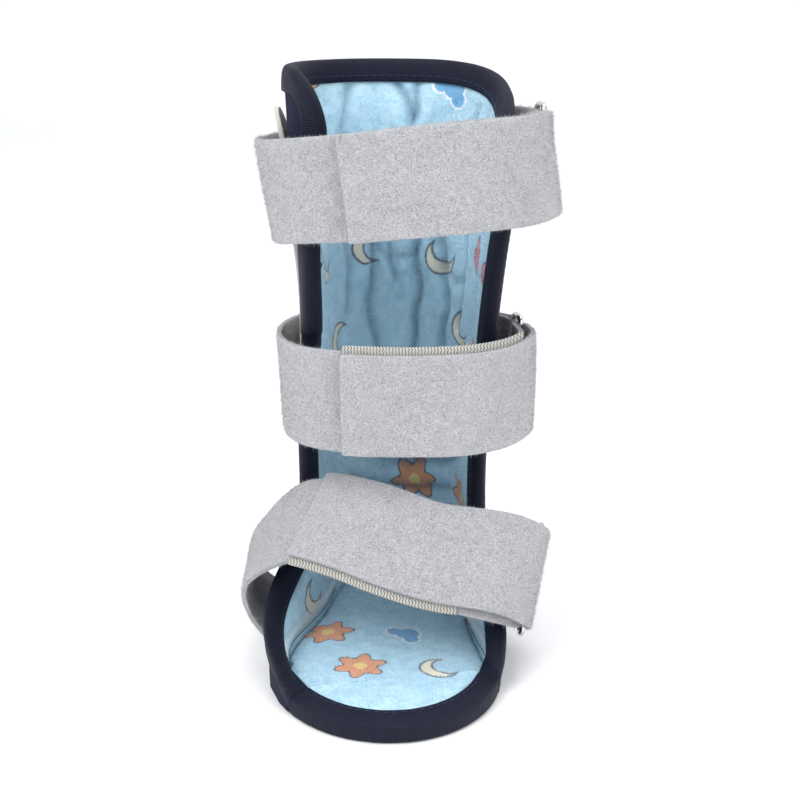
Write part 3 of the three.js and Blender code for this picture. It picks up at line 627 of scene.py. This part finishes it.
def tufted(name, source, slot, count, length, width, seed, keep=None):
    """Short fibres standing on a piece, with its cloth coordinates. keep weighs its triangles
    by their middles and normals."""
    mesh = source.data
    mesh.calc_loop_triangles()
    corners = np.empty(len(mesh.loop_triangles) * 3, dtype=int)
    mesh.loop_triangles.foreach_get("vertices", corners)
    corners = corners.reshape(-1, 3)
    points = points_of(mesh)
    normals = normals_of(mesh)
    a, b, c = (points[corners[:, k]] for k in range(3))
    area = np.linalg.norm(np.cross(b - a, c - a), axis=1)
    if keep is not None:
        area = area * keep((a + b + c) / 3, normals[corners].mean(axis=1))
    draw = np.random.default_rng(seed)
    chosen = draw.choice(len(area), size=count, p=area / area.sum())
    u = draw.random((count, 2))
    over = u.sum(axis=1) > 1
    u[over] = 1 - u[over]
    shares = np.stack([1 - u.sum(axis=1), u[:, 0], u[:, 1]], axis=1)[:, :, None]
    root = (points[corners[chosen]] * shares).sum(axis=1)
    normal = (normals[corners[chosen]] * shares).sum(axis=1)
    lean = draw.normal(size=(count, 3)) * PILE_LEAN
    direction = normal + lean
    direction /= np.linalg.norm(direction, axis=1)[:, None]
    side = np.cross(direction, draw.normal(size=(count, 3)))
    side /= np.linalg.norm(side, axis=1)[:, None]
    reach = length * MM * (0.5 + draw.random((count, 1)))
    half = side * width * MM / 2
    blades = np.stack([root - half, root + half, root + direction * reach], axis=1).reshape(-1, 3)
    faces = np.arange(count * 3).reshape(-1, 3)
    made = bpy.data.meshes.new(name)
    made.from_pydata(blades.tolist(), [], faces.tolist())
    layer = mesh.uv_layers.get("cloth")
    if layer:
        values = np.empty(len(mesh.loops) * 2)
        layer.data.foreach_get("uv", values)
        loops = np.empty(len(mesh.loops), dtype=int)
        mesh.loops.foreach_get("vertex_index", loops)
        by_vertex = np.zeros((len(mesh.vertices), 2))
        by_vertex[loops] = values.reshape(-1, 2)
        at_root = (by_vertex[corners[chosen]] * shares).sum(axis=1)
        set_cloth(made, np.repeat(at_root, 3, axis=0))
    return added(name, made, slot)


def plush_relief(points):
    """The uneven plush, in mm, from broad swellings to small ones."""
    return swell(points, 13, 3) * 0.7 + swell(points, 6, 4) * 0.35 + swell(points, 3.5, 5) * 0.12


def footbed_relief(points):
    """The uneven plush of the footbed, in mm, cut off where it would rise too far."""
    return np.minimum(swell(points, 22, 6) * 0.5 + swell(points, 6, 7) * 0.18, BED_LIMIT)


def soft_wall(node, name, slot, levels, crease_angle, plush=False, kind="CATMULL_CLARK", cage=None):
    """A layer of the wall, smoothed, with its dents, and creases on its inside if it is plush,
    with painted shade in them.
    """
    mesh = subdivided(cage or merged_cage(node, crease_angle, 1.0), levels, kind)
    points = points_of(mesh)
    outward = outward_of(points)
    if not mesh.uv_layers.get("cloth"):
        set_cloth(mesh, wall_cloth(points))
    move = crumpled(points)
    if plush:
        facing = np.clip(-(normals_of(mesh) * outward).sum(axis=1), 0, 1)
        crease_shade, depth = creased(points)
        inside = np.clip(points[:, 2] / MM / PLUSH_RAMP - PLUSH_START, 0, 1)
        under_rim = np.clip((RIM_FOOT - points[:, 2] / MM) / RIM_RAMP, 0, 1)
        # Layer of painted shade for the creases, on the inside only
        set_cloth(mesh, np.stack([crease_shade * facing * inside, crease_shade * 0], axis=1), "groove_and_shade")
        move = move + (depth + plush_relief(points)) * facing * inside * under_rim * MM
    set_points(mesh, points + outward * move[:, None])
    return added(name, mesh, slot, replaced=[node])


# Wall: outer cloth, plush pad and the tape over its edge
soft_wall(
    "outer_shell", "outer_cloth", "shell_cloth", levels=2, crease_angle=40, kind="SIMPLE"
)
lining = soft_wall(
    "upper_lining", "plush_wall_lining", "lining_cloth", levels=3, crease_angle=60, plush=True
)


def lengths_along(line):
    """Length of a line up to each of its points."""
    steps = np.linalg.norm(np.diff(line, axis=0), axis=1)
    return np.concatenate([[0], np.cumsum(steps)])


def binding_cage():
    """The binding's cage, with its distance along the tape as cloth coordinates, and the
    middle of each ring of its points, from the left toe corner over the top to the right one."""
    mesh = merged_cage("upper_binding", TAPE_CREASE_ANGLE, crease=0.6)
    points = points_of(mesh) / MM
    links = [[] for _ in points]
    for edge in mesh.edges:
        a, b = edge.vertices
        links[a].append(b)
        links[b].append(a)
    step = {k: 0 for k, p in enumerate(points) if p[2] < TAPE_FOOT and p[0] < 0}
    front = list(step)
    while front:
        reached = []
        for k in front:
            for other in links[k]:
                if other not in step:
                    step[other] = step[k] + 1
                    reached.append(other)
        front = reached
    last = max(step.values())
    rings = [[k for k in step if step[k] == n] for n in range(last + 1)]
    centres = np.array([points[ring].mean(axis=0) for ring in rings])
    along = lengths_along(centres)
    steps = np.array([step.get(k, 0) for k in range(len(points))])
    offset = points - centres[steps]
    set_cloth(mesh, np.stack([along[steps], np.linalg.norm(offset, axis=1)], axis=1))
    return mesh, centres


tape_cage, tape_line = binding_cage()
tape = soft_wall(
    "upper_binding", "edge_tape", "binding_tape", 2, TAPE_CREASE_ANGLE, cage=tape_cage
)


def smooth_piece(node, name, slot, levels=2, crease_angle=50, crease=0.85, wave=0.0, cloth=None):
    """A smoothed copy of a node, with slow waves."""
    mesh = subdivided(merged_cage(node, crease_angle, crease), levels)
    points = points_of(mesh)
    if cloth is not None:
        set_cloth(mesh, cloth(points))
    if wave:
        shift = np.stack([swell(points, WAVE_WIDTH, 2 + k) for k in range(3)], axis=1)
        set_points(mesh, points + shift * wave * MM)
    return added(name, mesh, slot, replaced=[node])


def round_toe(points):
    """Angle round the toe and distance from its middle, of points in mm."""
    x = points[:, 0] - TOE_MIDDLE[0]
    y = points[:, 1] - TOE_MIDDLE[1]
    return np.arctan2(x, -y), np.hypot(x, y)


def toe_cloth(points):
    """Cloth coordinates of the toe tape: along it and across it."""
    angle, reach = round_toe(points / MM)
    return np.stack([angle * TOE_REACH, points[:, 2] / MM + reach], axis=1)


def footbed_cloth(points):
    """Cloth coordinates of the footbed, at a place of their own in the print."""
    return points[:, :2] / MM + 307


toe_tape = smooth_piece(
    "toe_binding", "toe_tape", "binding_tape", 3, crease_angle=40, crease=0.15, cloth=toe_cloth
)
footbed = smooth_piece(
    "footbed_lining", "plush_footbed", "lining_cloth", 4, 60, crease=0.7, cloth=footbed_cloth
)
bed_points = points_of(footbed.data)
top_side = np.clip(normals_of(footbed.data)[:, 2], 0, 1)
bed_points[:, 2] += footbed_relief(bed_points) * top_side * MM
set_points(footbed.data, bed_points)

smooth_piece("side_stay", "side_stay_plate", "stay_plastic", crease=0.9)
straps = {}
for place in ("top", "middle", "instep"):
    straps[place] = smooth_piece(
        f"strap_{place}", f"loop_strap_{place}", "strap_cloth", levels=3, wave=STRAP_WAVE
    )
    smooth_piece(
        f"hook_tape_{place}", f"hook_strip_{place}", "hook_tape", crease=0.9, wave=STRAP_WAVE
    )
    straps[f"tab_{place}"] = smooth_piece(
        f"ring_tab_{place}", f"ring_loop_{place}", "strap_cloth", levels=3
    )
    smooth_piece(
        f"ring_{place}", f"wire_ring_{place}", "ring_metal", crease_angle=80, crease=0.0
    )


def threads(name, pieces, radius, slot, material, sides=5):
    """Short threads, each from its first to its last point, as one mesh."""
    vertices = []
    faces = []
    for points in pieces:
        line = [Vector(p) for p in points]
        start = len(vertices)
        for k, p in enumerate(line):
            before = line[max(0, k - 1)]
            after = line[min(len(line) - 1, k + 1)]
            along = (after - before).normalized()
            side = along.orthogonal().normalized()
            up = along.cross(side)
            thick = radius * MM * (THREAD_END if k in (0, len(line) - 1) else 1.0)
            for n in range(sides):
                turn = 2 * math.pi * n / sides
                vertices.append(p + (side * math.cos(turn) + up * math.sin(turn)) * thick)
        for k in range(len(line) - 1):
            for n in range(sides):
                m = (n + 1) % sides
                a = start + k * sides
                b = a + sides
                faces.append((a + n, a + m, b + m, b + n))
        end = start + (len(line) - 1) * sides
        faces.append(tuple(start + n for n in reversed(range(sides))))
        faces.append(tuple(end + n for n in range(sides)))
    mesh = bpy.data.meshes.new(name)
    mesh.from_pydata([tuple(v) for v in vertices], [], faces)
    return added(name, mesh, slot, material)


def tree_of(piece):
    vertices = [vertex.co for vertex in piece.data.vertices]
    faces = [tuple(face.vertices) for face in piece.data.polygons]
    return BVHTree.FromPolygons(vertices, faces)


def resampled(line, pitch):
    """Points of a line at an even pitch, in the line's unit."""
    line = np.asarray(line)
    lengths = lengths_along(line)
    count = int(lengths[-1] / pitch)
    at = np.linspace(0, lengths[-1], count + 1)
    return np.stack([np.interp(at, lengths, line[:, k]) for k in range(3)], axis=1)


def dashes(line, pitch, share):
    """Running stitches along a line in mm, each share of the pitch long."""
    spots = resampled(line, pitch)
    made = []
    for start, after in zip(spots, spots[1:]):
        end = start + (after - start) * share
        made.append([Vector(p) * MM for p in (start, (start + end) / 2, end)])
    return made


def seam_on(piece, centres, inset, from_inside, lift):
    """A line on a wall layer beside the binding's edge, at inset from the tape's middle."""
    tree = tree_of(piece)
    line = []
    fine = resampled(centres, SEAM_PITCH)
    for k, c in enumerate(fine):
        along = fine[min(len(fine) - 1, k + 1)] - fine[max(0, k - 1)]
        along = along / np.linalg.norm(along)
        n = outward_of(c[None, :] * MM)[0]
        n = n - along * (n @ along)
        n = n / np.linalg.norm(n)
        away = np.cross(along, n)
        toward = n if from_inside else -n
        start = c - away * inset - toward * SEAM_BACK
        hit = tree.ray_cast(Vector(start * MM), Vector(toward), SEAM_RAY * MM)[0]
        if hit is not None:
            line.append(np.array(hit) / MM - toward * lift)
    return np.array(line)


stitch_rows = []
for from_inside, inset, lift in ((True, 2.4, 0.1), (False, 2.6, -0.08)):
    seam = seam_on(tape, tape_line[1:-1], inset, from_inside, lift)
    stitch_rows += dashes(seam, *TAPE_STITCH)
threads("edge_stitches", stitch_rows, TAPE_THREAD, "binding_tape", "thread_navy")

# The upper tape's end
overlap = bmesh.new()
overlap.from_mesh(tape.data)
outside = [
    face
    for face in overlap.faces
    if face.calc_center_median().x > 0
    or not OVERLAP_BOTTOM * MM < face.calc_center_median().z < OVERLAP_TOP * MM
]
bmesh.ops.delete(overlap, geom=outside, context="FACES")
overlap.normal_update()
thickness = OVERLAP_THICKNESS * MM
for vertex in overlap.verts:
    vertex.co += vertex.normal * thickness
bmesh.ops.solidify(overlap, geom=overlap.faces[:], thickness=thickness * 0.9)
overlap_mesh = bpy.data.meshes.new("tape_overlap")
overlap.to_mesh(overlap_mesh)
overlap.free()
added("tape_overlap", overlap_mesh, "binding_tape")


def mitre(name, side):
    """The fold of tape at a toe corner, from the edge tape's foot to the toe tape's end."""
    foot = points_of(tape.data)
    foot = foot[(foot[:, 0] * side > 0) & (foot[:, 2] < FOLD_TOP * MM)]
    toe = points_of(toe_tape.data)
    angle = round_toe(toe / MM)[0] * side
    toe = toe[angle > angle.max() - FOLD_ANGLE]
    bm = bmesh.new()
    for point in np.concatenate([foot, toe]):
        bm.verts.new(point)
    bmesh.ops.convex_hull(bm, input=bm.verts[:])
    loose = [v for v in bm.verts if not v.link_faces]
    bmesh.ops.delete(bm, geom=loose, context="VERTS")
    mesh = bpy.data.meshes.new(name)
    bm.to_mesh(mesh)
    bm.free()
    points = points_of(mesh)
    set_cloth(mesh, np.stack([points[:, 1] / MM, points[:, 2] / MM + points[:, 0] / MM], axis=1))
    added(name, mesh, "binding_tape")
    mesh.polygons.foreach_set("use_smooth", [False] * len(mesh.polygons))


mitre("corner_fold_left", -1)
mitre("corner_fold_right", 1)

# Stitches on the toe tape
toe_points = points_of(nodes["toe_binding"].data) / MM
toe_top = toe_points[toe_points[:, 2] > TOE_UPPER]
toe_angles, toe_reaches = round_toe(toe_top)
toe_line = []
toe_tree = tree_of(toe_tape)
for low in np.linspace(toe_angles.min(), toe_angles.max(), TOE_STEPS)[:-1]:
    here = (toe_angles >= low) & (toe_angles < low + TOE_WINDOW)
    if here.any():
        inner = toe_top[here][toe_reaches[here].argmin()]
        out = inner[:2] - np.array(TOE_MIDDLE)
        out = out / np.linalg.norm(out)
        start = Vector((*(inner[:2] + out * TOE_INSET), TOE_START)) * MM
        hit = toe_tree.ray_cast(start, Vector((0, 0, -1)), TOE_RAY * MM)[0]
        if hit is not None:
            toe_line.append(np.array(hit) / MM + np.array([0, 0, TOE_LIFT]))
toe_rows = dashes(np.array(toe_line), *TAPE_STITCH)
threads("toe_stitches", toe_rows, TAPE_THREAD, "binding_tape", "thread_navy")

# Overlocked seams where the wall meets the footbed: rungs between two lines on the wall
wall_tree = tree_of(lining)


def on_wall(side, y, z, lift):
    """The spot at lift from the inside of the wall, in mm, or None."""
    start = Vector((0, y, z)) * MM
    hit = wall_tree.ray_cast(start, Vector((side, 0, 0)), WALL_RAY * MM)[0]
    return None if hit is None else np.array(hit) / MM - np.array([side * lift, 0, 0])


ladder = []
seams = []
for side in (-1, 1):
    low_line = []
    high_line = []
    for y in np.arange(SEAM_START, SEAM_END, SEAM_STEP):
        low = on_wall(side, y, SEAM_LOW, SEAM_LIFT)
        high = on_wall(side, y + SEAM_LEAN, SEAM_HIGH, SEAM_LIFT)
        if low is not None and high is not None:
            ladder.append([Vector(p) * MM for p in (low, (low + high) / 2, high)])
            low_line.append(low)
            high_line.append(high)
    ladder += dashes(np.array(high_line), *OVERLOCK_LINE)
    seams += dashes(np.array(low_line) + np.array([-side * 0.3, 0, -0.6]), *FOOTBED_STITCH)
threads("footbed_overlock", ladder, OVERLOCK_THREAD, "lining_cloth", "thread_pale")
threads("footbed_seam", seams, FOOTBED_THREAD, "lining_cloth", "thread_dark")

bar = []
for k in range(4):
    ends = [on_wall(-1, y, BAR_HEIGHT + BAR_PITCH * k, BAR_LIFT) for y in BAR_PLACES]
    if all(end is not None for end in ends):
        bar.append([Vector(end) * MM for end in ends])
threads("bar_stitch", bar, BAR_THREAD, "lining_cloth", "thread_dark")

# Fibres of the plush and of the brushed loops
beside_tape = KDTree(len(tape_line))
for k, centre in enumerate(tape_line):
    beside_tape.insert(centre, k)
beside_tape.balance()


def on_inside(middles, normals):
    """Weight of the wall's pile: on its inside, and not under the edge tape."""
    inside = np.clip(-(outward_of(middles) * normals).sum(axis=1), 0, 1)
    free = np.array([beside_tape.find(middle / MM)[2] > UNDER_TAPE for middle in middles])
    return inside * free


def on_top(middles, normals):
    """Weight of the footbed's pile: on its upper side."""
    return np.clip(normals[:, 2], 0, 1)


plush = (PLUSH_PILE["length"], PLUSH_PILE["width"])
loops = (LOOP_PILE["length"], LOOP_PILE["width"])
tufted("plush_wall_pile", lining, "lining_cloth", WALL_FIBRES, *plush, 11, on_inside)
tufted("plush_footbed_pile", footbed, "lining_cloth", FOOTBED_FIBRES, *plush, 12, on_top)
for k, (place, piece) in enumerate(straps.items()):
    count = TAB_FIBRES if place.startswith("tab") else STRAP_FIBRES
    tufted(f"loop_pile_{place}", piece, "strap_cloth", count, *loops, 20 + k)

# Floor, backdrop, lights and camera
FLOOR_FRONT = -2.0
FLOOR_REACH = 1.6
BACKDROP_RADIUS = 0.5
BACKDROP_TOP = 3.0
BACKDROP_HALF = 4.0
BEND_STEPS = 12
profile = [(FLOOR_FRONT, 0.0)]
for k in range(BEND_STEPS + 1):
    turn = math.pi / 2 * k / BEND_STEPS
    bend = (FLOOR_REACH + BACKDROP_RADIUS * math.sin(turn), BACKDROP_RADIUS * (1 - math.cos(turn)))
    profile.append(bend)
profile.append((FLOOR_REACH + BACKDROP_RADIUS, BACKDROP_TOP))
studio = bpy.data.meshes.new("studio")
corners = [(x, y, z) for y, z in profile for x in (-BACKDROP_HALF, BACKDROP_HALF)]
strips = [(2 * k, 2 * k + 1, 2 * k + 3, 2 * k + 2) for k in range(len(profile) - 1)]
studio.from_pydata(corners, [], strips)
studio.materials.append(plain_material("studio_floor", COLOURS["floor"], 0.85))
studio.polygons.foreach_set("use_smooth", [True] * len(studio.polygons))
backdrop = bpy.data.objects.new("studio", studio)
scene.collection.objects.link(backdrop)

# Places and sizes in metres, power in watts
LIGHTS = {
    "columns": ("name", "place", "size", "power"),
    "rows": [
        ("key", (-0.7, -0.9, 1.3), 0.9, 14.0),
        ("fill", (1.0, -0.9, 0.8), 1.0, 7.0),
        ("top", (0.1, 0.25, 1.5), 0.9, 7.0),
    ],
}
AIM = Vector((0, 0, 0.11))
for name, place, size, power in LIGHTS["rows"]:
    lamp = bpy.data.lights.new(name, "AREA")
    lamp.size = size
    lamp.energy = power
    holder = bpy.data.objects.new(name, lamp)
    holder.location = place
    holder.rotation_euler = (Vector(place) - AIM).to_track_quat("Z", "Y").to_euler()
    scene.collection.objects.link(holder)
SKY_COLOUR = (0.95, 0.97, 1.0, 1.0)
SKY_STRENGTH = 0.9
world = bpy.data.worlds.new("studio_light")
world.use_nodes = True
sky = world.node_tree.nodes["Background"].inputs
sky["Color"].default_value = SKY_COLOUR
sky["Strength"].default_value = SKY_STRENGTH
scene.world = world
scene.view_settings.view_transform = "Standard"

# Camera: back is the way from the boot to it, and ahead the way it looks
turn = math.radians(AZIMUTH)
dip = math.radians(PITCH)
lean = math.radians(ROLL)
back = Vector((math.sin(turn), -math.cos(turn), 0))
right = Vector((math.cos(turn), math.sin(turn), 0))
ahead = -back * math.cos(dip) - Vector((0, 0, math.sin(dip)))
across = right * math.cos(lean) + right.cross(ahead) * math.sin(lean)
upward = across.cross(ahead)
spot = back * DISTANCE + right * SIDE_STEP + Vector((0, 0, EYE_HEIGHT))
lens = bpy.data.cameras.new("camera")
lens.sensor_width = SENSOR
lens.lens = LENS
lens.clip_start = 0.01
eye = bpy.data.objects.new("camera", lens)
eye.matrix_world = Matrix(
    [[across[k], upward[k], -ahead[k], spot[k]] for k in range(3)] + [[0, 0, 0, 1]]
)
scene.collection.objects.link(eye)
scene.camera = eye
